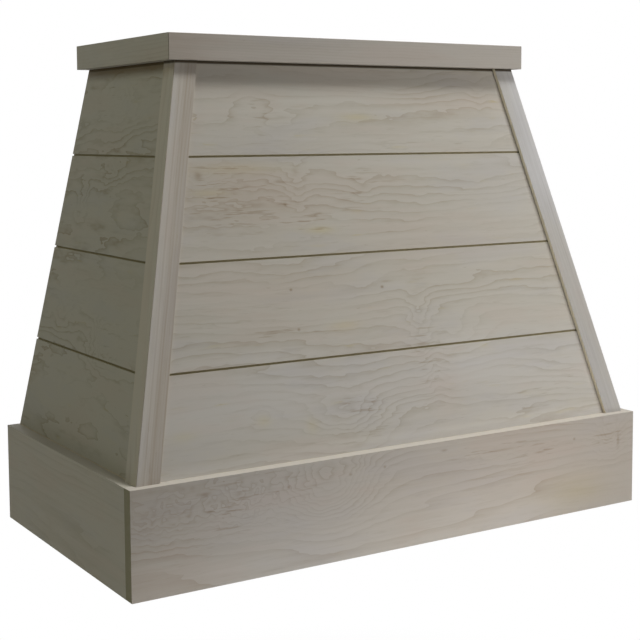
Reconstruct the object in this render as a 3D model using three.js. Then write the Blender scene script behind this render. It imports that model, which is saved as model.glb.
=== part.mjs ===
// Tapered wooden range hood cover for a wall, in unfinished maple.
//
// A square base box (the apron) carries a body of three sloping grooved plywood panels, and a
// narrow band closes the top. The back is open to the wall and the bottom is open for a liner.
// Millimetres, +Z up, +Y towards the wall, origin under the middle of the whole hood.
import * as THREE from 'three';

// Whole hood
const overallWidth = 914.4;       // 36 in, over the apron
const overallDepth = 480;         // wall to apron front
const overallHeight = 762;        // 30 in

// Base box
const apronHeight = 152.4;        // 6 in
const apronThickness = 19.05;     // 3/4 in solid maple
const baseRailThickness = 19.05;
const baseRailHeight = 114.3;     // the liner seats on the rails' lower edges
const gussetThickness = 19.05;
const gussetLeg = 82;

// Top band
const bandHeight = 38.1;          // 1 1/2 in
const bandThickness = 19.05;
const bandSideReach = 14.3;       // past the corner strips at the body's top
const bandFrontReach = 9.9;
const crownRailThickness = 19.05;

// Sloping body, measured over the corner strips
const bodyTopWidth = 622.3;       // under the band
const bodyTopDepth = 333;
const frontLedge = 12.7;          // apron top edge left showing in front of the strips
const sideLedge = 14.3;

// Grooved panels
const panelThickness = 12.7;      // 1/2 in maple plywood
const grooveSpacing = 148;        // between grooves, measured upright
const grooveWidth = 3;
const grooveDepth = 2.4;

// Corner strips, planted on the panels
const stripThickness = 6.35;      // 1/4 in lattice strip
const stripWidth = 34.9;          // 1 3/8 in

// Frame behind the panels
const postWidth = 31.75;
const rearStileWidth = 38.1;
const rearStileThickness = 19.05;
const hangingRailHeight = 88.9;
const hangingRailThickness = 19.05;

// Glue line between two faces that don't lie square to the hood
const glueLine = 0.2;

// Worked out from the sizes above
const bodyHeight = overallHeight - apronHeight - bandHeight;
const bodyBaseHalfWidth = overallWidth / 2 - sideLedge;
const bodyBaseDepth = overallDepth - frontLedge;
const sideLean = (bodyBaseHalfWidth - bodyTopWidth / 2) / bodyHeight;
const frontLean = (bodyBaseDepth - bodyTopDepth) / bodyHeight;
const sideStretch = Math.hypot(1, sideLean);     // level distance for each mm square to a side
const frontStretch = Math.hypot(1, frontLean);
const behindStrip = stripThickness;
const behindPanel = stripThickness + panelThickness;
const bandWidth = bodyTopWidth + 2 * bandSideReach;
const bandDepth = bodyTopDepth + bandFrontReach;

// Colours
const mapleSolid = new THREE.MeshStandardMaterial({ color: 0xd9c7a8, roughness: 0.62, metalness: 0 });
const maplePly = new THREE.MeshStandardMaterial({ color: 0xdccbad, roughness: 0.66, metalness: 0 });
const framePoplar = new THREE.MeshStandardMaterial({ color: 0xcdbb93, roughness: 0.72, metalness: 0 });

// ---------------------------------------------------------------------------------------------
// Shaping

// A piece between its two sawn ends. Both ends are the same outline, point for point, so every
// long face stays flat however the ends are angled. `along` is the axis that the piece runs on,
// and the second end lies further along it.
function sawn(endA, endB, along) {
  const flat = {
    x: (p) => new THREE.Vector2(p.y, p.z),
    y: (p) => new THREE.Vector2(p.z, p.x),
    z: (p) => new THREE.Vector2(p.x, p.y),
  }[along];
  const clockwise = THREE.ShapeUtils.isClockWise(endA.map(flat));
  const near = clockwise ? [...endA].reverse() : endA;
  const far = clockwise ? [...endB].reverse() : endB;
  const count = near.length;
  const faces = [];
  for (const [a, b, c] of THREE.ShapeUtils.triangulateShape(near.map(flat), [])) {
    faces.push(c, b, a, a + count, b + count, c + count);
  }
  for (let i = 0; i < count; i += 1) {
    const next = (i + 1) % count;
    faces.push(i, next, next + count, i, next + count, i + count);
  }
  const geometry = new THREE.BufferGeometry().setFromPoints([...near, ...far]);
  geometry.setIndex(faces);
  const faceted = geometry.toNonIndexed();
  faceted.computeVertexNormals();
  return faceted;
}

// Outline of a board's section with its two ends cut where `endAt` says
function boardAlongX(section, endAt) {
  const end = (side) => section.map(([y, z]) => new THREE.Vector3(side * endAt(y, z), y, z));
  return sawn(end(-1), end(1), 'x');
}

function boardAlongY(section, frontAt, rearAt) {
  const end = (yAt) => section.map(([x, z]) => new THREE.Vector3(x, yAt(x, z), z));
  return sawn(end(frontAt), end(rearAt), 'y');
}

// Leaning piece: its level section `planAt(z)` drifts as it climbs
function leaningPiece(planAt, bottom, top) {
  const level = (z) => planAt(z).map(([x, y]) => new THREE.Vector3(x, y, z));
  return sawn(level(bottom), level(top), 'z');
}

const rectangle = (u0, u1, v0, v1) => [[u0, v0], [u1, v0], [u1, v1], [u0, v1]];

// Puts a named piece into a group
function fit(group, name, geometry, material) {
  const mesh = new THREE.Mesh(geometry, material);
  mesh.name = name;
  group.add(mesh);
  return mesh;
}

const sides = [['left', -1], ['right', 1]];

// ---------------------------------------------------------------------------------------------
// Base box: z = 0 is the apron's lower edge, y = 0 is the wall

function buildBase() {
  const base = new THREE.Group();
  const halfWidth = overallWidth / 2;
  const innerHalfWidth = halfWidth - apronThickness;
  const innerFront = -overallDepth + apronThickness;
  const railFront = innerFront + baseRailThickness;
  const railHalfWidth = innerHalfWidth - baseRailThickness;
  const railBottom = apronHeight - baseRailHeight;

  // The front board covers the ends of the side boards, so its end grain shows at the sides
  fit(base, 'apron_front', boardAlongX(
    rectangle(-overallDepth, innerFront, 0, apronHeight), () => halfWidth), mapleSolid);
  for (const [side, sign] of sides) {
    fit(base, `apron_${side}`, boardAlongY(
      rectangle(sign * innerHalfWidth, sign * halfWidth, 0, apronHeight),
      () => innerFront, () => 0), mapleSolid);
  }

  // Rails behind the apron carry the panels' lower edges and the liner
  fit(base, 'base_rail_front', boardAlongX(
    rectangle(innerFront, railFront, railBottom, apronHeight), () => innerHalfWidth), framePoplar);
  for (const [side, sign] of sides) {
    fit(base, `base_rail_${side}`, boardAlongY(
      rectangle(sign * railHalfWidth, sign * innerHalfWidth, railBottom, apronHeight),
      () => railFront, () => 0), framePoplar);
  }
  fit(base, 'base_rail_rear', boardAlongX(
    rectangle(-baseRailThickness, 0, railBottom, apronHeight), () => railHalfWidth), framePoplar);

  // Flat gussets hold the rail corners square, flush with the rails' upper edges
  const gussetCorners = [['front', railFront, 1], ['rear', -baseRailThickness, -1]];
  for (const [end, cornerY, inward] of gussetCorners) {
    for (const [side, sign] of sides) {
      const plan = () => [
        [sign * railHalfWidth, cornerY],
        [sign * (railHalfWidth - gussetLeg), cornerY],
        [sign * railHalfWidth, cornerY + inward * gussetLeg],
      ];
      fit(base, `base_gusset_${end}_${side}`, leaningPiece(
        plan, apronHeight - gussetThickness, apronHeight), maplePly);
    }
  }
  return base;
}

// ---------------------------------------------------------------------------------------------
// Sloping body: z = 0 is its foot on the apron, y = 0 is the wall. `depth` is how far a face
// lies below the face of the corner strips, measured square to the slope.

const sideFace = (z, depth) => bodyBaseHalfWidth - sideLean * z - sideStretch * depth;
const frontFace = (z, depth) => -bodyBaseDepth + frontLean * z + frontStretch * depth;

// Corner mitre: where a point of a side or front board meets the other board's same depth
const mitreX = (y, z) => sideFace(z, (y - frontFace(z, 0)) / frontStretch);
const mitreY = (x, z) => frontFace(z, (sideFace(z, 0) - Math.abs(x)) / sideStretch);

// Section of a grooved panel as [level position, z], climbing the outer face and back down
// the inner one. `faceAt` gives the level position of a face, `lean` its slope.
function groovedSection(faceAt, lean, sign) {
  const stretch = Math.hypot(1, lean);
  const halfRise = grooveWidth / 2 / stretch;      // half a groove, measured upright
  const bedRise = grooveDepth * lean / stretch;    // a groove is cut square to the face
  const grooveCount = Math.round(bodyHeight / grooveSpacing) - 1;
  const bed = behindStrip + grooveDepth;
  const outline = [[faceAt(0, behindStrip), 0]];
  for (let i = 0; i < grooveCount; i += 1) {
    const z = bodyHeight / 2 + (i - (grooveCount - 1) / 2) * grooveSpacing;
    const low = z - halfRise;
    const high = z + halfRise;
    outline.push([faceAt(low, behindStrip), low]);
    outline.push([faceAt(low - bedRise, bed), low - bedRise]);
    outline.push([faceAt(high - bedRise, bed), high - bedRise]);
    outline.push([faceAt(high, behindStrip), high]);
  }
  outline.push([faceAt(bodyHeight, behindStrip), bodyHeight]);
  outline.push([faceAt(bodyHeight, behindPanel), bodyHeight]);
  outline.push([faceAt(0, behindPanel), 0]);
  return outline.map(([level, z]) => [sign * level, z]);
}

function buildPanels(body) {
  fit(body, 'front_panel', boardAlongX(
    groovedSection(frontFace, frontLean, 1), (y, z) => mitreX(y, z) - glueLine), maplePly);
  for (const [side, sign] of sides) {
    fit(body, `side_panel_${side}`, boardAlongY(
      groovedSection(sideFace, sideLean, sign),
      (x, z) => mitreY(x, z) + glueLine, () => 0), maplePly);
  }
}

// Two thin strips, mitred together, cap each front corner and stand on the apron's top edge
function buildCornerStrips(body) {
  const back = stripThickness - glueLine;
  for (const [side, sign] of sides) {
    const frontStripPlan = (z) => {
      const inner = sideFace(z, 0) - stripWidth * sideStretch;
      return [
        [sign * (sideFace(z, 0) - glueLine), frontFace(z, 0)],
        [sign * inner, frontFace(z, 0)],
        [sign * inner, frontFace(z, back)],
        [sign * (sideFace(z, back) - glueLine), frontFace(z, back)],
      ];
    };
    const sideStripPlan = (z) => {
      const inner = frontFace(z, 0) + stripWidth * frontStretch;
      return [
        [sign * sideFace(z, 0), frontFace(z, 0) + glueLine],
        [sign * sideFace(z, 0), inner],
        [sign * sideFace(z, back), inner],
        [sign * sideFace(z, back), frontFace(z, back) + glueLine],
      ];
    };
    fit(body, `corner_strip_front_${side}`,
      leaningPiece(frontStripPlan, 0, bodyHeight), mapleSolid);
    fit(body, `corner_strip_side_${side}`,
      leaningPiece(sideStripPlan, 0, bodyHeight), mapleSolid);
  }
}

// Posts glued into the corners behind the panels, and stiles along the wall
function buildBodyFrame(body) {
  const seat = behindPanel + glueLine;
  const stileTop = bodyHeight - hangingRailHeight;
  for (const [side, sign] of sides) {
    const postPlan = (z) => {
      const x = sideFace(z, seat);
      const y = frontFace(z, seat);
      return [
        [sign * x, y],
        [sign * (x - postWidth), y],
        [sign * (x - postWidth), y + postWidth],
        [sign * x, y + postWidth],
      ];
    };
    const stilePlan = (z) => {
      const x = sideFace(z, seat);
      return rectangle(sign * (x - rearStileWidth), sign * x, -rearStileThickness, 0);
    };
    fit(body, `corner_post_${side}`, leaningPiece(postPlan, 0, bodyHeight), framePoplar);
    fit(body, `rear_stile_${side}`, leaningPiece(stilePlan, 0, stileTop), framePoplar);
  }
  // The hanging rail fills the width between the side panels, its ends cut to their slope
  fit(body, 'hanging_rail', boardAlongX(
    rectangle(-hangingRailThickness, 0, stileTop, bodyHeight), (y, z) => sideFace(z, seat)),
  framePoplar);
}

// ---------------------------------------------------------------------------------------------
// Crown: z = 0 is the band's lower edge, y = 0 is the wall

function buildCrown() {
  const crown = new THREE.Group();
  const halfWidth = bandWidth / 2;
  const innerHalfWidth = halfWidth - bandThickness;
  const innerFront = -bandDepth + bandThickness;
  const railFront = innerFront + crownRailThickness;
  const railHalfWidth = innerHalfWidth - crownRailThickness;

  // Band boards are mitred at the two front corners
  fit(crown, 'top_band_front', boardAlongX(
    rectangle(-bandDepth, innerFront, 0, bandHeight),
    (y) => halfWidth - (y + bandDepth) - glueLine), mapleSolid);
  for (const [side, sign] of sides) {
    fit(crown, `top_band_${side}`, boardAlongY(
      rectangle(sign * innerHalfWidth, sign * halfWidth, 0, bandHeight),
      (x) => -bandDepth + (halfWidth - Math.abs(x)) + glueLine, () => 0), mapleSolid);
  }

  // Rails inside the band tie the panels' upper edges together and leave the duct way open
  fit(crown, 'crown_rail_front', boardAlongX(
    rectangle(innerFront, railFront, 0, bandHeight), () => innerHalfWidth), framePoplar);
  for (const [side, sign] of sides) {
    fit(crown, `crown_rail_${side}`, boardAlongY(
      rectangle(sign * railHalfWidth, sign * innerHalfWidth, 0, bandHeight),
      () => railFront, () => 0), framePoplar);
  }
  fit(crown, 'crown_rail_rear', boardAlongX(
    rectangle(-crownRailThickness, 0, 0, bandHeight), () => railHalfWidth), framePoplar);
  return crown;
}

// ---------------------------------------------------------------------------------------------

const hood = new THREE.Group();
hood.position.y = overallDepth / 2;

hood.add(buildBase());

const body = new THREE.Group();
body.position.z = apronHeight;
buildPanels(body);
buildCornerStrips(body);
buildBodyFrame(body);
hood.add(body);

const crown = buildCrown();
crown.position.z = apronHeight + bodyHeight;
hood.add(crown);

export default hood;
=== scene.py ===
import math
import bmesh
import bpy
from mathutils import Matrix, Vector


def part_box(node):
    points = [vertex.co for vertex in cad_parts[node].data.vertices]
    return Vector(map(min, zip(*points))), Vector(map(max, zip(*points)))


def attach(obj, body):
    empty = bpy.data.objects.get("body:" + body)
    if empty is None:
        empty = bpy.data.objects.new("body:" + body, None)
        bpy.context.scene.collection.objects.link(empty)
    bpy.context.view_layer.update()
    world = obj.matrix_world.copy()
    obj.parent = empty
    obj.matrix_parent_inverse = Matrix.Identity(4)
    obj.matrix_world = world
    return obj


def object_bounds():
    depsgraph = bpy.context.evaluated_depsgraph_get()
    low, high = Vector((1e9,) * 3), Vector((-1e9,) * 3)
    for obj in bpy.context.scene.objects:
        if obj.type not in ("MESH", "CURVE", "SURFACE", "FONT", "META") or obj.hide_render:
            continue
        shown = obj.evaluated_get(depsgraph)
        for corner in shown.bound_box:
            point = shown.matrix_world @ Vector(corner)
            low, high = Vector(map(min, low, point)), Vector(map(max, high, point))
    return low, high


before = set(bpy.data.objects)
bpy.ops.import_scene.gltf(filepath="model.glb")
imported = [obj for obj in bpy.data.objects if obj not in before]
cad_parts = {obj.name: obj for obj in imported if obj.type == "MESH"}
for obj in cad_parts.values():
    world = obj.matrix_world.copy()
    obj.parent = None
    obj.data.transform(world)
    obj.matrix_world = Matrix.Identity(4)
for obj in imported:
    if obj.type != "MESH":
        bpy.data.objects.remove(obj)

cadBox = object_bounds()
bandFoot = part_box("top_band_front")[0].z
print("frame loaded,", len(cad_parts), "wooden pieces")

# Every place below is in metres: x to the right, y towards the wall, z up.
xWay = Vector((1, 0, 0))
yWay = Vector((0, 1, 0))
zWay = Vector((0, 0, 1))


# Shader maths: a socket that can be added, multiplied and so on like a number
class Wire:
    def __init__(self, tree, socket=None):
        self.tree = tree
        self.socket = socket

    # any node: its type, its settings, then the values or links of its sockets
    def node(self, kind, settings=None, values=None, take=0):
        made = self.tree.nodes.new(kind)
        for name, value in (settings or {}).items():
            setattr(made, name, value)
        for name, value in (values or {}).items():
            if isinstance(value, Wire):
                self.tree.links.new(value.socket, made.inputs[name])
            else:
                made.inputs[name].default_value = value
        return Wire(self.tree, made.outputs[take])

    # another output of the same node
    def output(self, take):
        return Wire(self.tree, self.socket.node.outputs[take])

    def feed(self, socket):
        self.tree.links.new(self.socket, socket)

    def maths(self, operation, *terms):
        return self.node("ShaderNodeMath", {"operation": operation}, dict(enumerate(terms)))

    def __add__(self, other):
        return self.maths("ADD", self, other)

    def __radd__(self, other):
        return self.maths("ADD", other, self)

    def __sub__(self, other):
        return self.maths("SUBTRACT", self, other)

    def __rsub__(self, other):
        return self.maths("SUBTRACT", other, self)

    def __mul__(self, other):
        return self.maths("MULTIPLY", self, other)

    def __rmul__(self, other):
        return self.maths("MULTIPLY", other, self)

    def __truediv__(self, other):
        return self.maths("DIVIDE", self, other)

    def __rtruediv__(self, other):
        return self.maths("DIVIDE", other, self)

    def __pow__(self, other):
        return self.maths("POWER", self, other)

    def __abs__(self):
        return self.maths("ABSOLUTE", self)

    def fraction(self):
        return self.maths("FRACT", self)

    def most(self, other):
        return self.maths("MAXIMUM", self, other)

    # from 0 at `low` to 1 at `high`, with soft ends
    def rise(self, low, high):
        return self.node("ShaderNodeMapRange", {"interpolation_type": "SMOOTHSTEP"},
                         {"Value": self, "From Min": low, "From Max": high})

    # how much of a direction a vector holds
    def along(self, way):
        return self.node("ShaderNodeVectorMath", {"operation": "DOT_PRODUCT"},
                         {0: self, 1: way}, "Value")

    # stretches a vector and moves it
    def stretched(self, scales, offset=(0, 0, 0)):
        return self.node("ShaderNodeVectorMath", {"operation": "MULTIPLY_ADD"},
                         {0: self, 1: scales, 2: offset})

    # soft noise from 0 to 1 over a place that is already to scale
    def noise(self, detail, roughness):
        return self.node("ShaderNodeTexNoise", {"noise_dimensions": "3D"},
                         {"Vector": self, "Scale": 1.0, "Detail": detail, "Roughness": roughness})

    # 1 at a spot of the face, fading to 0 over a reach along the grain and one across it
    def near(self, spot, reach):
        scales = (1 / reach[0], 1 / reach[1], 0)
        offset = (-spot[0] / reach[0], -spot[1] / reach[1], 0)
        away = self.node("ShaderNodeVectorMath", {"operation": "LENGTH"},
                         {0: self.stretched(scales, offset)}, "Value")
        return self.maths("EXPONENT", away * away * -1)

    # a colour between two, by a share
    def between(self, first, second):
        return self.node("ShaderNodeMix", {"data_type": "RGBA", "clamp_factor": True},
                         {0: self, 6: first, 7: second}, 2)

    # a colour multiplied by a tint, by a share
    def tinted(self, share, tint):
        return self.node("ShaderNodeMix", {"data_type": "RGBA", "blend_type": "MULTIPLY",
                                           "clamp_factor": True}, {0: share, 6: self, 7: tint}, 2)


def startMaterial(name):
    material = bpy.data.materials.new(name)
    material.use_nodes = True
    tree = material.node_tree
    shader = tree.nodes["Principled BSDF"]
    return material, Wire(tree), shader


def colour(red, green, blue):
    return (red, green, blue, 1.0)


# Where a point lies in its board: x along the grain, y across the face, z through the board
def boardPlace(wire, along, across):
    spot = wire.node("ShaderNodeTexCoord", take="Object")
    return wire.node("ShaderNodeCombineXYZ", None, {
        "X": spot.along(along), "Y": spot.along(across), "Z": spot.along(along.cross(across))})


# The two ways of a board's face, made square to each other
def squaredWays(along, across):
    along = along.normalized()
    return along, (across - along * across.dot(along)).normalized()


# Marks of the wood, drawn as noise: their repeats in a metre along the grain, across the face and
# through the board, then the noise's detail and roughness
solidMarks = {
    "drift": (1.6, 9, 9, 1.5, 0.5),          # the slow wandering of the rings
    "wobble": (7, 42, 42, 2.0, 0.5),
    "wave": (62, 75, 0, 1.0, 0.5),           # the tight curls of curly wood
    "ringClear": (4, 24, 24, 1.0, 0.5),      # where the rings stand out
    "fibre": (22, 900, 900, 3.0, 0.6),
    "streak": (3.5, 120, 120, 3.0, 0.55),
    "patch": (3.0, 15, 15, 2.0, 0.5),
    "fleck": (75, 620, 620, 1.0, 0.5),
}
veneerMarks = {
    "slow": (2.1, 8.5, 0, 2.5, 0.45),        # the wandering of the level lines, slow and quick
    "stir": (9, 34, 0, 2.0, 0.5),
    "wave": (38, 120, 0, 1.0, 0.5),
    "lineClear": (3.2, 13, 0, 2.0, 0.5),     # where the level lines stand out
    "fibre": (26, 700, 0, 3.0, 0.6),
    "streak": (3.0, 95, 0, 3.0, 0.55),
    "patch": (2.4, 7, 0, 2.0, 0.5),
    "fleck": (60, 420, 0, 1.0, 0.5),
    "brushed": (11, 75, 0, 2.0, 0.6),        # honey-coloured brush strokes
    "grit": (160, 160, 1400, 3.0, 0.5),      # the sawn plies
}
sharedMarks = {
    "bend": (24, 60, 0, 2.0, 0.6),
    "dash": (19, 210, 210, 2.0, 0.6),
    "hue": (5, 19, 19, 3.0, 0.6),
}
bendReach = Vector((0.030, 0.014, 0))
lateSharpness = 3.0          # how sharply a ring or a level line ends
# Painted shade: the dark line under the band, where the band's unlit underside and the crease below it
# lie in shade, in heights from the band's foot
bandJointShade = {
    "fadesFrom": -0.0052,
    "darkFrom": -0.0028,
    "darkTo": 0.0001,
    "endsAt": 0.0003,
}


# A mark from 0 to 1, moved by a board's own shift so that no two boards are alike
def drawn(place, mark, shift):
    *repeats, detail, roughness = mark
    return place.stretched(repeats, shift).noise(detail, roughness)


# The same place pushed about a little, so that nothing drawn round a spot comes out too regular
def bentPlace(place, shift):
    push = drawn(place, sharedMarks["bend"], shift).output("Color")
    return push.stretched(bendReach, place.stretched((1, 1, 1), -bendReach / 2))


# Sums what lies near some spots: along, across, reach along, reach across and how much, each
def spotted(place, spots):
    total = 0
    for along, across, spanAlong, spanAcross, amount in spots:
        total = place.near((along, across), (spanAlong, spanAcross)) * amount + total
    return total


# Short brown dashes along the grain, a few anywhere and many near the figure's spots
def dashes(place, look, shift, figure):
    marks = drawn(place, sharedMarks["dash"], shift).rise(0.58, 0.70)
    return marks * (spotted(place, figure.get("dashes", ())) * look["dashNear"] + look["dashShare"])


# How near a point is to the joint under the band, where the wood meets it and takes a dark line of
# painted shade
def paintedJointShade(wire):
    height = wire.node("ShaderNodeTexCoord", take="Object").along(zWay)
    below = height.rise(bandFoot + bandJointShade["fadesFrom"], bandFoot + bandJointShade["darkFrom"])
    above = height.rise(bandFoot + bandJointShade["darkTo"], bandFoot + bandJointShade["endsAt"])
    return below * (1 - above)


# The wood's colour from a tone between pale and brown, with pinkish, ashen, honey and pale places
def woodColour(place, tone, look, shift, figure):
    face = tone.between(look["pale"], look["brown"])
    hue = drawn(place, sharedMarks["hue"], shift)
    face = face.tinted(hue.rise(0.50, 0.64) * look["blushShare"], woodTints["blush"])
    face = face.tinted((1 - hue.rise(0.36, 0.50)) * look["ashShare"], woodTints["ash"])
    for kind, tint in woodTints.items():
        if figure.get(kind):
            face = face.tinted(spotted(place, figure[kind]), tint)
    # the dark line under the band is painted shade, for the band's unlit underside and the crease below
    # it
    return (paintedJointShade(place) * look["jointShadeShare"]).between(face, look["jointShade"])


# How smooth a look is: its gloss, its roughness, and a grain that stands out by `height`
def sandedFinish(wire, shader, look, roughness, height):
    shader.inputs["Specular IOR Level"].default_value = look["gloss"]
    (roughness + look["roughness"]).feed(shader.inputs["Roughness"])
    bump = wire.node("ShaderNodeBump", None,
                     {"Strength": look["bump"], "Distance": look["bumpDepth"], "Height": height})
    bump.feed(shader.inputs["Normal"])


# Solid sawn wood: growth rings round a pith line behind the board, fibres, flecks and patches
def solidWood(name, along, across, look, seed, figure):
    material, wire, shader = startMaterial(name)
    along, across = squaredWays(along, across)
    place = boardPlace(wire, along, across)
    turned = wire.node("ShaderNodeNewGeometry", take="True Normal")
    endGrain = abs(turned.along(along)).rise(0.7, 0.9)
    # the sawn edges take their own colour, which is painted light on the strips' sides and painted shade
    # on the side boards' edges
    sawnEdgeAndPaintedLight = abs(turned.along(across)).rise(0.7, 0.9) * look["edgeShare"]
    shift = (seed * 3.7, seed * 1.3, seed * 2.1)

    # the rings' radius from the pith, which lies a little further to one side in each board
    lengths = wire.node("ShaderNodeSeparateXYZ", None, {0: place})
    pithAcross, pithBehind = look["pith"]
    sideways = lengths.output("Y") - (pithAcross + look["pithSway"] * math.sin(seed * 5.1))
    behind = lengths.output("Z") - pithBehind
    radius = (sideways * sideways + behind * behind) ** 0.5
    drift = drawn(place, solidMarks["drift"], shift)
    wobble = drawn(place, solidMarks["wobble"], shift)
    rings = (radius + drift * look["drift"] + wobble * look["wobble"]) / look["ringWidth"]
    if figure.get("eyes"):
        bent = bentPlace(place, shift)
        wave = drawn(place, solidMarks["wave"], shift)
        rings = rings + spotted(bent, figure["eyes"]) + wave * spotted(bent, figure["waves"])
    lateWood = rings.fraction() ** lateSharpness
    ringClear = drawn(place, solidMarks["ringClear"], shift).rise(0.3, 0.7)
    fibre = drawn(place, solidMarks["fibre"], shift)
    streak = drawn(place, solidMarks["streak"], shift)
    patch = drawn(place, solidMarks["patch"], shift)
    fleck = drawn(place, solidMarks["fleck"], shift).rise(0.70, 0.80)

    tone = (lateWood * (look["ringLeast"] + ringClear) * look["ringShare"]
            + (fibre - 0.5) * look["fibreShare"] + (streak - 0.5) * look["streakShare"]
            + (patch - 0.5) * look["patchShare"] + fleck * look["fleckShare"]
            + dashes(place, look, shift, figure) + spotted(place, figure.get("knotsAndPaintedLight", ())))
    face = woodColour(place, tone, look, shift, figure)
    endShare = endGrain * (look["endShare"] + streak * look["endStreaks"])
    face = endShare.between(face, look["endGrain"])
    sawnEdgeAndPaintedLight.between(face, look["sawnEdgeAndPaintedLight"]).feed(shader.inputs["Base Color"])
    sandedFinish(wire, shader, look, fibre * look["fibreRough"],
                 fibre * 0.6 + streak * 0.4 + lateWood * 0.3)
    return material


# Rotary-cut veneer over a core of crossed plies: level lines that wander, on the two faces, and
# stripes on the sawn edges. `outward` is square to the sheet and `faceAt` is where its face lies.
def veneeredPly(name, along, outward, faceAt, thickness, look, seed, figure):
    material, wire, shader = startMaterial(name)
    outward = outward.normalized()
    up = outward.cross(along).normalized()
    if up.z < 0:
        up = -up
    place = boardPlace(wire, along, up)
    spot = wire.node("ShaderNodeTexCoord", take="Object")
    depth = faceAt - spot.along(outward)
    facing = wire.node("ShaderNodeNewGeometry", take="True Normal").along(outward)
    edge = 1.0 - abs(facing).rise(0.55, 0.75)
    shift = (seed * 3.7, seed * 1.3, 0.0)

    # a field that grows up the sheet and wanders; its level lines are the figure, as where a
    # lathe knife crosses the rings
    slow = drawn(place, veneerMarks["slow"], shift)
    stir = drawn(place, veneerMarks["stir"], shift)
    wave = drawn(place, veneerMarks["wave"], shift)
    field = spot.along(up) * look["levelLines"] + slow * look["wander"] + stir * look["stir"]
    waviness = look["ripple"]
    if figure.get("eyes"):
        bent = bentPlace(place, shift)
        field = field + spotted(bent, figure["eyes"])
        waviness = spotted(bent, figure["waves"]) + waviness
    field = field + wave * waviness
    contour = field.fraction() ** lateSharpness
    lineClear = drawn(place, veneerMarks["lineClear"], shift).rise(0.36, 0.62)
    fibre = drawn(place, veneerMarks["fibre"], shift)
    streak = drawn(place, veneerMarks["streak"], shift)
    patch = drawn(place, veneerMarks["patch"], (seed * 1.9, seed * 4.3, 5.0))
    fleck = drawn(place, veneerMarks["fleck"], shift).rise(0.72, 0.80)

    tone = (contour * (look["lineLeast"] + lineClear) * look["contourShare"]
            + (streak - 0.5) * look["streakShare"] + (fibre - 0.5) * look["fibreShare"]
            + (patch - 0.5) * look["patchShare"] + fleck * look["fleckShare"]
            + dashes(place, look, shift, figure) + spotted(place, figure.get("knotsAndPaintedLight", ())))
    face = woodColour(place, tone, look, shift, figure)
    brushed = drawn(place, veneerMarks["brushed"], shift).rise(0.62, 0.76)
    face = face.tinted(brushed * (0.25 + contour) * look["brushShare"], woodTints["honey"])

    # the core shows on the edges and in the grooves, between the two face veneers
    crossed = (depth * (look["plies"] / thickness / 2)).fraction().rise(0.46, 0.54)
    grit = drawn(place, veneerMarks["grit"], shift)
    stripes = crossed * look["plyShare"] + (grit - 0.5) * look["gritShare"]
    sawn = stripes.between(look["edgePale"], look["edgeBrown"])
    veneer, core = look["veneerDepth"]
    lastCore, lastVeneer = look["backDepth"]
    cut = depth.rise(veneer, core) * (1.0 - depth.rise(thickness - lastCore, thickness - lastVeneer))
    inCore = edge.most(cut)
    inCore.between(face, sawn).feed(shader.inputs["Base Color"])
    sandedFinish(wire, shader, look, fibre * look["fibreRough"] + inCore * look["sawnRough"],
                 fibre * 0.6 + streak * 0.3 + grit * inCore)
    return material


# What the odd places of the wood are multiplied by
woodTints = {
    "blush": colour(1.01, 0.955, 0.94),
    "ash": colour(0.955, 0.965, 1.02),
    "honey": colour(1.02, 0.98, 0.80),
    # the last tint makes spots paler: pale places of the wood, and painted light along the front panel's
    # foot
    "paleAndPaintedLight": colour(1.26, 1.28, 1.34),
}
solidMaple = {
    "pale": colour(0.495, 0.450, 0.400),
    "brown": colour(0.300, 0.235, 0.170),
    # painted shade: the colour of the dark line under the band, and how much of it covers the wood
    "jointShade": colour(0.058, 0.043, 0.023),
    "jointShadeShare": 0.92,
    "sawnEdgeAndPaintedLight": colour(0.500, 0.452, 0.392),
    "edgeShare": 0.8,
    "pith": (0.0, -0.16),    # where the middle of the tree lies: across the board, behind it
    "pithSway": 0.05,
    "ringWidth": 0.0042,
    "drift": 0.030,
    "wobble": 0.006,
    "ringShare": 0.16,
    "ringLeast": 0.35,       # what the rings keep where they are faintest
    "fibreShare": 0.22,
    "streakShare": 0.40,
    "patchShare": 0.30,
    "fleckShare": 0.20,
    "dashShare": 0.10,       # of the dashes anywhere, and near the figure's spots
    "dashNear": 0.6,
    "blushShare": 0.45,
    "ashShare": 0.45,
    "endGrain": colour(0.235, 0.212, 0.128),
    "endShare": 0.75,
    "endStreaks": 0.3,
    "roughness": 0.58,
    "fibreRough": 0.12,
    "gloss": 0.06,
    "bump": 0.25,
    "bumpDepth": 0.0004,
}
apronMaple = dict(solidMaple, pale=colour(0.484, 0.440, 0.391), ringWidth=0.0052, ringShare=0.28,
                  drift=0.034)
# painted shade tint: the side boards' maple is a copy made yellower for the colour of the shade on the
# hood's sides, and its sawn edges are darker for the shade that the left ledge lies in
sideMapleShadeTinted = dict(apronMaple, pale=colour(0.476, 0.438, 0.364), brown=colour(0.285, 0.228, 0.145),
                 sawnEdgeAndPaintedLight=colour(0.400, 0.365, 0.300), ringShare=0.18)
# painted light: the strips' sawn sides are made much paler, standing for the light thrown onto them from
# the lit front panel
stripMaple = dict(solidMaple, sawnEdgeAndPaintedLight=colour(0.800, 0.720, 0.570), edgeShare=0.9)
# painted light: the side strips' maple is made paler and yellower for how the hood's left side is lit
sideStripMapleShadeTinted = dict(stripMaple, pale=colour(0.570, 0.518, 0.428), brown=colour(0.345, 0.270, 0.180))
greyStripMaple = dict(stripMaple, pale=colour(0.542, 0.518, 0.496), brown=colour(0.320, 0.285, 0.240))
frameWood = dict(solidMaple, pale=colour(0.520, 0.450, 0.315), brown=colour(0.300, 0.255, 0.140),
                 ringWidth=0.006, ringShare=0.22, roughness=0.66, edgeShare=0.0)
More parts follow.
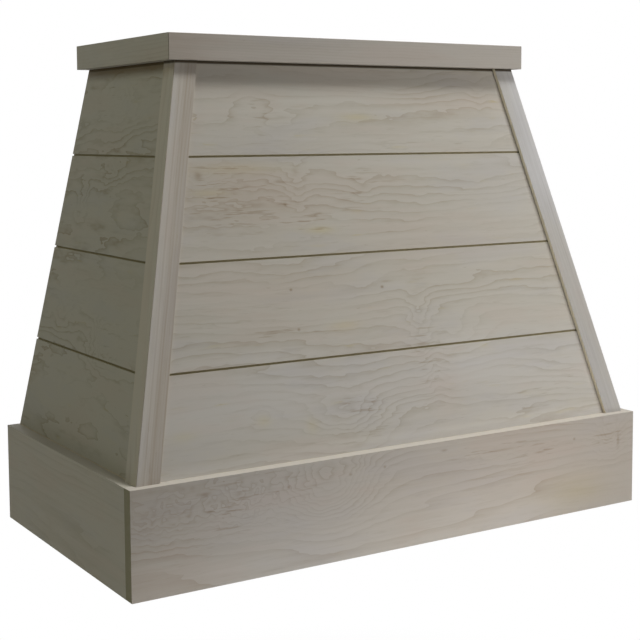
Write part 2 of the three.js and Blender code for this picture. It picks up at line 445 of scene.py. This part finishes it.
mapleVeneer = {
    "pale": colour(0.490, 0.453, 0.396),
    "brown": colour(0.290, 0.232, 0.160),
    # painted shade: the colour of the dark line under the band, and how much of it covers the wood
    "jointShade": colour(0.058, 0.043, 0.023),
    "jointShadeShare": 0.92,
    "levelLines": 62.0,
    "wander": 9.0,
    "stir": 1.3,
    "ripple": 0.5,
    "contourShare": 0.33,
    "lineLeast": 0.15,       # what the level lines keep where they are faintest
    "streakShare": 0.34,
    "brushShare": 0.8,
    "fibreShare": 0.14,
    "patchShare": 0.26,
    "fleckShare": 0.25,
    "dashShare": 0.10,       # of the dashes anywhere, and near the figure's spots
    "dashNear": 0.6,
    "blushShare": 0.42,
    "ashShare": 0.55,
    "plies": 7,
    "plyShare": 0.75,        # how far the crossed plies and the saw's grit darken a sawn edge
    "gritShare": 0.5,
    "veneerDepth": (0.0008, 0.0016),         # where the face's veneer gives way to the core
    "backDepth": (0.002, 0.001),             # the same, counted from the sheet's back
    "edgePale": colour(0.48, 0.43, 0.29),
    "edgeBrown": colour(0.25, 0.21, 0.12),
    "roughness": 0.60,
    "fibreRough": 0.12,
    "sawnRough": 0.1,
    "gloss": 0.06,
    "bump": 0.25,
    "bumpDepth": 0.0004,
}
# painted shade tint: the side veneer is made yellower for the colour of the shade on the hood's sides,
# and its dark line under the band is yellower; its level lines are its own figure
sideVeneerShadeTinted = dict(mapleVeneer, pale=colour(0.480, 0.446, 0.368), brown=colour(0.270, 0.215, 0.130),
                  jointShade=colour(0.100, 0.070, 0.026), levelLines=26.0, wander=11.0, stir=2.2,
                  ripple=0.8, contourShare=0.60)

# What the figure does at single spots: along the grain, up the face, its two reaches, how much
frontFigure = {
    "eyes": [(-0.090, 0.154, 0.060, 0.042, 2.9), (-0.193, 0.618, 0.034, 0.040, -1.3),
             (-0.152, 0.590, 0.026, 0.026, 0.7), (-0.131, 0.498, 0.020, 0.055, 1.1),
             (0.059, 0.281, 0.020, 0.050, 1.7), (0.077, 0.202, 0.018, 0.045, -1.6),
             (-0.013, 0.488, 0.020, 0.016, 1.2), (0.171, 0.430, 0.040, 0.012, 1.3),
             (0.235, 0.648, 0.014, 0.034, 0.7), (-0.290, 0.516, 0.030, 0.020, 1.8),
             (-0.235, 0.170, 0.018, 0.010, -1.2), (0.120, 0.260, 0.050, 0.030, 1.6)],
    "waves": [(-0.265, 0.500, 0.080, 0.060, 1.6), (0.065, 0.240, 0.030, 0.090, 0.9),
              (-0.080, 0.150, 0.070, 0.036, 0.9), (-0.131, 0.498, 0.030, 0.060, 0.9),
              (-0.180, 0.600, 0.050, 0.030, 0.5)],
    "dashes": [(-0.250, 0.490, 0.090, 0.045, 1.0), (-0.120, 0.440, 0.060, 0.024, 0.8),
               (-0.013, 0.488, 0.030, 0.030, 0.7), (-0.190, 0.610, 0.030, 0.030, 0.6),
               (0.060, 0.240, 0.030, 0.060, 0.6), (-0.080, 0.284, 0.040, 0.015, 0.6),
               (0.290, 0.160, 0.070, 0.030, 0.6), (-0.060, 0.150, 0.060, 0.030, 0.6),
               (0.150, 0.560, 0.100, 0.020, 0.4), (-0.200, 0.290, 0.120, 0.030, 0.4)],
    "knotsAndPaintedLight": [(-0.164, 0.343, 0.0022, 0.0018, 0.8), (-0.003, 0.337, 0.0026, 0.0020, 0.9),
              (0.004, 0.345, 0.0100, 0.0022, 0.3), (-0.159, 0.284, 0.0022, 0.0020, 0.7),
              (-0.195, 0.284, 0.0400, 0.0020, 0.25), (-0.155, 0.470, 0.0030, 0.0024, 0.5),
              (-0.293, 0.515, 0.0060, 0.0060, 0.5), (-0.250, 0.490, 0.110, 0.060, 0.14),
              (-0.020, 0.420, 0.300, 0.200, 0.07)],
    "blush": [(-0.230, 0.480, 0.100, 0.045, 0.60), (-0.170, 0.340, 0.120, 0.030, 0.60),
              (0.220, 0.640, 0.060, 0.030, 0.50), (0.090, 0.160, 0.030, 0.040, 0.50),
              (0.120, 0.400, 0.140, 0.030, 0.50), (0.020, 0.260, 0.040, 0.030, 0.40)],
    "ash": [(0.000, 0.190, 0.600, 0.065, 0.70), (0.260, 0.480, 0.090, 0.050, 0.45),
            (-0.200, 0.560, 0.120, 0.030, 0.35)],
    "honey": [(-0.007, 0.602, 0.030, 0.006, 0.8), (-0.101, 0.429, 0.024, 0.006, 0.9),
              (-0.079, 0.284, 0.026, 0.007, 0.6), (-0.235, 0.160, 0.012, 0.008, 0.6),
              (-0.157, 0.144, 0.010, 0.012, 0.5), (-0.362, 0.153, 0.020, 0.006, 0.5),
              (-0.230, 0.525, 0.080, 0.008, 0.5), (-0.280, 0.490, 0.030, 0.005, 0.6)],
    # the first spot is painted light, a pale strip along the panel's foot just above the ledge; the
    # second makes the lower part of the panel paler
    "paleAndPaintedLight": [(0.000, 0.098, 9.000, 0.014, 0.75), (0.000, 0.185, 9.000, 0.055, 0.17),
                 (0.140, 0.225, 0.060, 0.034, 0.20),
                 (0.290, 0.600, 0.030, 0.060, 0.15), (-0.200, 0.250, 0.120, 0.010, 0.16)],
}
sideFigure = {
    "eyes": [(0.100, 0.590, 0.040, 0.030, 2.2), (-0.030, 0.220, 0.040, 0.030, 3.6),
             (0.150, 0.255, 0.024, 0.030, 2.0), (0.160, 0.418, 0.020, 0.030, 2.4)],
    "waves": [(-0.030, 0.230, 0.060, 0.040, 3.4), (0.080, 0.575, 0.060, 0.040, 1.8),
              (0.070, 0.460, 0.050, 0.030, 1.8)],
    "dashes": [(0.160, 0.418, 0.020, 0.014, 1.0), (0.140, 0.600, 0.030, 0.040, 0.8),
               (-0.030, 0.220, 0.050, 0.030, 0.7)],
    # the first spot is painted shade, a dark strip across the panel just under the band; the second
    # makes the panel's lower part paler
    "knotsAndPaintedLight": [(0.000, 0.631, 9.000, 0.0105, 0.95), (0.000, 0.150, 9.000, 0.120, -0.12)],
}
apronFigure = {
    "eyes": [(-0.148, 0.118, 0.066, 0.054, 8.5), (0.405, 0.118, 0.022, 0.030, 3.0),
             (-0.300, 0.125, 0.030, 0.020, 1.0)],
    "waves": [(-0.280, 0.112, 0.070, 0.040, 4.5), (-0.410, 0.112, 0.060, 0.040, 4.0),
              (-0.120, 0.110, 0.090, 0.060, 0.5), (0.200, 0.118, 0.100, 0.016, 1.6),
              (0.405, 0.110, 0.050, 0.040, 1.4)],
    "dashes": [(-0.290, 0.112, 0.080, 0.040, 0.6), (0.170, 0.122, 0.060, 0.016, 0.9),
               (0.252, 0.110, 0.030, 0.010, 0.9), (0.400, 0.120, 0.040, 0.024, 0.6)],
    # the first spot makes the apron darker towards its left end
    "knotsAndPaintedLight": [(-0.480, 0.080, 0.1300, 0.2000, 0.22), (-0.347, 0.131, 0.0080, 0.0030, 0.6),
              (-0.340, 0.106, 0.0050, 0.0020, 0.5), (-0.215, 0.122, 0.0022, 0.0022, 0.6),
              (-0.110, 0.125, 0.0030, 0.0022, 0.5), (-0.050, 0.128, 0.0025, 0.0020, 0.6),
              (0.060, 0.138, 0.0060, 0.0020, 0.5), (0.170, 0.124, 0.0300, 0.0018, 0.35),
              (0.252, 0.110, 0.0100, 0.0016, 0.50), (0.325, 0.122, 0.0025, 0.0020, 0.6),
              (0.423, 0.108, 0.0030, 0.0120, 0.45)],
    "ash": [(-0.260, 0.090, 0.150, 0.090, 0.60)],
    "blush": [(0.250, 0.090, 0.300, 0.090, 0.50)],
    "honey": [(0.328, 0.034, 0.070, 0.030, 0.6)],
}
bandFigure = {"knotsAndPaintedLight": [(-0.320, 0.740, 0.060, 9.000, 0.24)]}
plainFigure = {}


# The lowest and highest rims of a leaning piece, on the side that `way` points to
def leaningEdge(node, way):
    points = [vertex.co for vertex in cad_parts[node].data.vertices]
    levels = [point.z for point in points]
    slack = 1e-4
    foot = max(point.dot(way) for point in points if point.z < min(levels) + slack)
    top = max(point.dot(way) for point in points if point.z > max(levels) - slack)
    return foot, top, min(levels), max(levels)


# Square to a leaning panel, where its outer face lies, and its thickness
def panelFace(node, way):
    foot, top, low, high = leaningEdge(node, way)
    lean = (foot - top) / (high - low)
    outward = (way + zWay * lean).normalized()
    faceAt = (way * foot + zWay * low).dot(outward)
    points = [vertex.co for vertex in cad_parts[node].data.vertices]
    thickness = faceAt - min(point.dot(outward) for point in points)
    return outward, faceAt, thickness


# How far a board reaches each way across its grain
def reachAcross(node, along, across):
    across = squaredWays(along, across)[1]
    places = [vertex.co.dot(across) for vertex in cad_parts[node].data.vertices]
    return min(places), max(places)


def dress(node, material):
    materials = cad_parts[node].data.materials
    materials.clear()
    materials.append(material)


# Edges that are eased with sandpaper
easing = {
    "width": 0.0006,
    "segments": 2,
    "fromAngle": 30,         # degrees between two faces
    "weld": 0.00001,
}


def easeEdges(node):
    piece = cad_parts[node]
    weld = piece.modifiers.new("weld", "WELD")
    weld.merge_threshold = easing["weld"]
    bevel = piece.modifiers.new("easedEdges", "BEVEL")
    bevel.width = easing["width"]
    bevel.segments = easing["segments"]
    bevel.limit_method = "ANGLE"
    bevel.angle_limit = math.radians(easing["fromAngle"])


# Panels: the way each one faces, the way its grain runs, the veneer, a seed and its figure
panels = {
    "front_panel": (-yWay, xWay, mapleVeneer, 1.0, frontFigure),
    "side_panel_left": (-xWay, yWay, sideVeneerShadeTinted, 2.3, sideFigure),
    "side_panel_right": (xWay, yWay, sideVeneerShadeTinted, 3.1, plainFigure),
}
leans = {}
for node, (way, along, look, seed, figure) in panels.items():
    outward, faceAt, thickness = panelFace(node, way)
    leans[node] = outward.z / outward.dot(way)
    dress(node, veneeredPly(node + "_ply", along, outward, faceAt, thickness, look, seed, figure))

# Boards and rails: the way the grain runs, the way across the face, the wood, a seed and its figure
boards = {
    "apron_front": (xWay, zWay, apronMaple, 1.0, apronFigure),
    "apron_left": (yWay, zWay, sideMapleShadeTinted, 2.0, plainFigure),
    "apron_right": (yWay, zWay, sideMapleShadeTinted, 3.0, plainFigure),
    "top_band_front": (xWay, zWay, solidMaple, 4.0, bandFigure),
    "top_band_left": (yWay, zWay, sideMapleShadeTinted, 5.0, plainFigure),
    "top_band_right": (yWay, zWay, sideMapleShadeTinted, 6.0, plainFigure),
    "hanging_rail": (xWay, zWay, frameWood, 7.0, plainFigure),
    "base_rail_front": (xWay, zWay, frameWood, 8.0, plainFigure),
    "base_rail_rear": (xWay, zWay, frameWood, 9.0, plainFigure),
    "crown_rail_front": (xWay, zWay, frameWood, 10.0, plainFigure),
    "crown_rail_rear": (xWay, zWay, frameWood, 11.0, plainFigure),
}
# Long streaks of the front strips: how far from the hood's corner, as a share of the strip's width,
# half width and how dark
# the first streak, a lighter one along the hood's corner, is a painted highlight on the corner's edge
stripStreaks = [(-0.05, 0.0045, -0.5), (0.30, 0.0016, 0.22), (0.52, 0.0040, 0.25), (0.62, 0.0014, 0.20),
                (0.80, 0.0060, 0.34), (0.95, 0.0016, 0.25)]
streakStrength = {"left": 1.0, "right": 0.4}
# What the side strips and the right-hand strips have besides, as spots of a figure
# the side strips' first spot is painted shade, a dark strip just under the band; the right-hand strips
# are darker low down and paler at a spot higher up
sideStripSpots = [(0.590, 0.0, 0.010, 9.0, 0.50), (0.15, 0.0, 0.15, 9.0, -0.15)]
rightStripSpots = [(0.15, 0.0, 0.300, 9.0, 0.36), (0.42, 0.0, 0.06, 9.0, -0.22)]
stripWoods = {
    "corner_strip_front_left": stripMaple,
    "corner_strip_side_left": sideStripMapleShadeTinted,
    "corner_strip_front_right": greyStripMaple,
    "corner_strip_side_right": greyStripMaple,
}


# The streaks of a front strip as spots, counted from the hood's corner on the side that `way` says
def streakSpots(node, run, way, strength):
    low, high = reachAcross(node, run, xWay)
    start, width = (high, low - high) if way > 0 else (low, high - low)
    return [(0.4, start + width * share, 9.0, reach, amount * strength)
            for share, reach, amount in stripStreaks]


for number, (side, way) in enumerate((("left", -1), ("right", 1))):
    run = Vector((-way * leans["side_panel_" + side], leans["front_panel"], 1)).normalized()
    front = "corner_strip_front_" + side
    flank = "corner_strip_side_" + side
    spots = rightStripSpots if side == "right" else []
    streaks = streakSpots(front, run, way, streakStrength[side])
    boards[front] = (run, xWay, stripWoods[front], 12.0 + 2 * number, {"knotsAndPaintedLight": streaks + spots})
    boards[flank] = (run, yWay, stripWoods[flank], 13.0 + 2 * number, {"knotsAndPaintedLight": sideStripSpots + spots})
    boards["corner_post_" + side] = (run, xWay, frameWood, 16.0 + number, plainFigure)
    boards["rear_stile_" + side] = (zWay, xWay, frameWood, 18.0 + number, plainFigure)
    boards["base_rail_" + side] = (yWay, zWay, frameWood, 20.0 + number, plainFigure)
    boards["crown_rail_" + side] = (yWay, zWay, frameWood, 22.0 + number, plainFigure)
for node, (along, across, look, seed, figure) in boards.items():
    dress(node, solidWood(node + "_wood", along, across, look, seed, figure))

# The gussets are offcuts of the same ply, laid flat
gussets = sorted(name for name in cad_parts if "gusset" in name)
for number, node in enumerate(gussets):
    low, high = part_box(node)
    grain = (xWay + yWay * (-1) ** number).normalized()
    dress(node, veneeredPly(node + "_ply", grain, zWay, high.z, high.z - low.z, mapleVeneer,
                            30.0 + number, plainFigure))

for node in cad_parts:
    easeEdges(node)
print("wood finished,", len(bpy.data.materials), "materials")


# Washer-head screws that hold each gusset in its corner of the rails
screw = {
    "sides": 24,
    "washerRadius": 0.0052,
    "washerHeight": 0.0006,
    "slopeReach": 0.0004,    # from the head out to where the washer's top starts to slope
    "slopeFoot": 0.0010,
    "slopeTop": 0.0014,
    "headRadius": 0.0036,
    "headHeight": 0.0026,
    "crown": [(0.93, 0.85), (0.72, 1.0)],    # the head's rounding, in shares of its radius and height
    "recessReach": 0.0021,
    "recessHalf": 0.0008,
    "recessDepth": 0.0015,
    "recessTaper": 0.8,
    "sunk": 0.0004,          # how far the washer is drawn into the ply
    "fromMiddle": 0.021,     # along the gusset's diagonal face
}
screwSteel = {
    "bright": colour(0.62, 0.61, 0.57),
    "dull": colour(0.44, 0.43, 0.40),
    "clouds": (420, 420, 420, 3.0, 0.6),     # a mark, as the wood's are
    "roughness": 0.28,
    "cloudRough": 0.22,
    "bump": 0.15,
    "bumpDepth": 0.0002,
}


def steelMaterial():
    material, wire, shader = startMaterial("zincSteel")
    cloud = drawn(wire.node("ShaderNodeTexCoord", take="Object"), screwSteel["clouds"], (0, 0, 0))
    shader.inputs["Metallic"].default_value = 1.0
    cloud.between(screwSteel["bright"], screwSteel["dull"]).feed(shader.inputs["Base Color"])
    (screwSteel["roughness"] + cloud * screwSteel["cloudRough"]).feed(shader.inputs["Roughness"])
    bump = wire.node("ShaderNodeBump", None, {"Strength": screwSteel["bump"],
                                              "Distance": screwSteel["bumpDepth"], "Height": cloud})
    bump.feed(shader.inputs["Normal"])
    return material


# The screw's rounds from the washer's seat to the head's flat, as radius and how far each stands out
def screwProfile():
    profile = [(screw["washerRadius"], 0.0), (screw["washerRadius"], screw["washerHeight"]),
               (screw["headRadius"] + screw["slopeReach"], screw["slopeFoot"]),
               (screw["headRadius"], screw["slopeTop"])]
    for wide, tall in screw["crown"]:
        profile.append((screw["headRadius"] * wide, screw["headHeight"] * tall))
    return profile


# A strip of faces between two rounds of as many points
def joinRounds(builder, first, second):
    for step in range(len(first)):
        after = (step + 1) % len(first)
        builder.faces.new((first[step], first[after], second[after], second[step]))


# One closed screw head looking down, its recess a cross sunk into the middle
def screwMesh(material):
    builder = bmesh.new()
    turns = [2 * math.pi * step / screw["sides"] for step in range(screw["sides"])]
    rounds = [[builder.verts.new((radius * math.cos(turn), radius * math.sin(turn), -out))
               for turn in turns] for radius, out in screwProfile()]
    for first, second in zip(rounds, rounds[1:]):
        joinRounds(builder, first, second)
    builder.faces.new(rounds[0])
    # the cross: twelve corners, its mouth joined to the head's rim and its floor sunk
    half, reach = screw["recessHalf"], screw["recessReach"]
    arm = [(reach, -half), (reach, half), (half, half)]
    outline = arm + [(-y, x) for x, y in arm] + [(-x, -y) for x, y in arm] + [(y, -x) for x, y in arm]
    mouth = [builder.verts.new((x, y, -screw["headHeight"])) for x, y in outline]
    deep = screw["recessDepth"] - screw["headHeight"]
    taper = screw["recessTaper"]
    bottom = [builder.verts.new((x * taper, y * taper, deep)) for x, y in outline]
    joinRounds(builder, mouth, bottom)
    builder.faces.new(bottom)
    rim = [edge for edge in builder.edges if len(edge.link_faces) == 1]
    bmesh.ops.triangle_fill(builder, edges=rim, use_beauty=True)
    bmesh.ops.recalc_face_normals(builder, faces=builder.faces)
    mesh = bpy.data.meshes.new("gussetScrew")
    builder.to_mesh(mesh)
    builder.free()
    mesh.materials.append(material)
    return mesh


# Two screws a gusset, driven into the corner through its diagonal face
def addScrews():
    plain = screwMesh(steelMaterial())
    for node in gussets:
        low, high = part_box(node)
        outX, outY = (1 if "right" in node else -1), (1 if "rear" in node else -1)
        inward = Vector((-outX, -outY, 0)).normalized()
        level = Vector((outX, -outY, 0)).normalized()
        for number, way in enumerate((-1, 1), 1):
            place = (low + high) / 2 + level * (way * screw["fromMiddle"]) - inward * screw["sunk"]
            mesh = plain.copy()
            turn = inward.to_track_quat("-Z", "Y").to_matrix().to_4x4()
            # each one stops at an angle of its own
            spin = Matrix.Rotation(0.4 + 1.3 * number + outX + 2.1 * outY, 4, "Z")
            mesh.transform(Matrix.Translation(place) @ turn @ spin)
            piece = bpy.data.objects.new("screw_" + node + "_" + str(number), mesh)
            bpy.context.scene.collection.objects.link(piece)
            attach(piece, "root")
    bpy.data.meshes.remove(plain)


addScrews()
print("screws in place")


# Stage: a white floor well below the hood and white surroundings
stageLook = {
    "floorDrop": 0.75,
    "floorReach": 12.0,
    "floorWhite": 0.8,
    "floorRoughness": 0.9,
    "ambient": 0.03,         # strength of the surroundings on the wood
    "floorShade": 0.3,       # how much of the lamps' light and shadow the floor shows
    "shadeFrom": 0.7,        # from here outward the floor fades to plain white
    "shadeTo": 1.5,
}


# White for the camera and in reflections, dim for the light that falls on the wood
def seenRays(wire):
    paths = wire.node("ShaderNodeLightPath")
    camera = paths.output("Is Camera Ray")
    return camera.most(paths.output("Is Glossy Ray")).most(paths.output("Is Transmission Ray"))


def makeWorld():
    world = bpy.data.worlds.new("whiteRoom")
    world.use_nodes = True
    wire = Wire(world.node_tree)
    background = world.node_tree.nodes["Background"]
    seenRays(wire).most(stageLook["ambient"]).feed(background.inputs["Strength"])
    background.inputs["Color"].default_value = colour(1, 1, 1)
    bpy.context.scene.world = world


def makeFloor():
    mesh = bpy.data.meshes.new("floor")
    builder = bmesh.new()
    reach = stageLook["floorReach"]
    level = cadBox[0].z - stageLook["floorDrop"]
    corners = [(-reach, -reach), (reach, -reach), (reach, reach), (-reach, reach)]
    builder.faces.new([builder.verts.new((x, y, level)) for x, y in corners])
    builder.to_mesh(mesh)
    builder.free()
    floor = bpy.data.objects.new("floor", mesh)
    bpy.context.scene.collection.objects.link(floor)
    material, wire, shader = startMaterial("whiteFloor")
    shader.inputs["Base Color"].default_value = colour(*[stageLook["floorWhite"]] * 3)
    shader.inputs["Roughness"].default_value = stageLook["floorRoughness"]
    spot = wire.node("ShaderNodeTexCoord", take="Object").stretched((1, 1, 0))
    away = wire.node("ShaderNodeVectorMath", {"operation": "LENGTH"}, {0: spot}, "Value")
    shade = (1 - away.rise(stageLook["shadeFrom"], stageLook["shadeTo"])) * stageLook["floorShade"]
    glow = wire.node("ShaderNodeEmission", None, {"Color": colour(1, 1, 1), "Strength": 1.0})
    lit = Wire(wire.tree, shader.outputs[0])
    mixed = wire.node("ShaderNodeMixShader", None, {0: seenRays(wire) * (1 - shade), 1: lit, 2: glow})
    # clear from underneath, so that the hood can be looked at from below
    underneath = wire.node("ShaderNodeNewGeometry", take="Backfacing")
    clear = wire.node("ShaderNodeBsdfTransparent")
    shown = wire.node("ShaderNodeMixShader", None, {0: underneath, 1: mixed, 2: clear})
    shown.feed(wire.tree.nodes["Material Output"].inputs["Surface"])
    mesh.materials.append(material)


# Soft lamps: where each stands, what it is aimed at, its width and height, watts and tint
lamps = {
    "high": {"at": (0.7, -0.6, 3.4), "aim": (0, -0.1, 0.4), "size": (0.7, 0.7), "watts": 82.6,
             "tint": (0.949, 0.983, 1)},
    "rightFront": {"at": (0.5, -1.25, 0.78), "aim": (0.3, -0.24, 0.05), "size": (0.3, 0.3), "watts": 1.4,
                   "tint": (1, 0.94, 0.98)},
    "rightNear": {"at": (0.65, -1.0, 0.85), "aim": (0.45, -0.24, 0), "size": (0.25, 0.25), "watts": 3.1,
                  "tint": (0.985, 1, 0.97)},
    "belowFront": {"at": (0.3, -0.8, -0.1), "aim": (0.3, -0.24, 0), "size": (0.6, 0.2), "watts": 1.12,
                   "tint": (1, 0.98, 0.93)},
    "belowLeft": {"at": (-0.1, -0.33, -0.04), "aim": (-0.1, -0.28, 0.2), "size": (0.8, 0.08),
                  "watts": 0.224, "tint": (0.93, 0.98, 1)},
    "leftFill": {"at": (-2.4, -0.5, 0.7), "aim": (0, 0, 0.4), "size": (1.6, 1.6), "watts": 3.2,
                 "tint": (0.95, 1, 0.77)},
    "leftHigh": {"at": (-1.6, -0.4, 1.9), "aim": (0, 0, 0.4), "size": (0.8, 0.8), "watts": 3.56,
                 "tint": (0.95, 1, 0.77)},
    "wallSide": {"at": (0, 2.6, 1.0), "aim": (0, 0, 0.4), "size": (2.0, 1.4), "watts": 20.0,
                 "tint": (1, 1, 1)},
}


def makeLamps():
    for name, lamp in lamps.items():
        data = bpy.data.lights.new(name, "AREA")
        data.shape = "RECTANGLE"
        data.size, data.size_y = lamp["size"]
        data.energy = lamp["watts"]
        data.color = lamp["tint"]
        light = bpy.data.objects.new(name, data)
        light.location = lamp["at"]
        aimed = Vector(lamp["aim"]) - Vector(lamp["at"])
        light.rotation_euler = aimed.to_track_quat("-Z", "Y").to_euler()
        light.visible_camera = False
        bpy.context.scene.collection.objects.link(light)


# The photograph's view, solved from the hood's straight edges
view = {
    "sensorWidth": 36,       # millimetres
    "imagePixels": 640,
    "focalPixels": 1325.77,
    "axisRow": 250,          # where the lens axis meets the picture, counted from its top
    "at": (-1.15092, -1.81568, 0.61525),
    "yaw": 32.1431,          # degrees to the right of straight at the wall
    "pitch": -4.9350,
    "roll": -0.3112,
}


def makeCamera():
    data = bpy.data.cameras.new("camera")
    data.sensor_width = view["sensorWidth"]
    data.lens = view["focalPixels"] * view["sensorWidth"] / view["imagePixels"]
    data.shift_y = (view["axisRow"] - view["imagePixels"] / 2) / view["imagePixels"]
    camera = bpy.data.objects.new("camera", data)
    yaw, pitch, roll = (math.radians(view[name]) for name in ("yaw", "pitch", "roll"))
    turn = Matrix.Rotation(-yaw, 4, "Z") @ Matrix.Rotation(math.pi / 2 + pitch, 4, "X")
    camera.matrix_world = Matrix.Translation(view["at"]) @ turn @ Matrix.Rotation(roll, 4, "Z")
    bpy.context.scene.collection.objects.link(camera)
    bpy.context.scene.camera = camera


makeWorld()
makeFloor()
makeLamps()
makeCamera()
bpy.context.scene.view_settings.view_transform = "Standard"
print("stage and camera set")
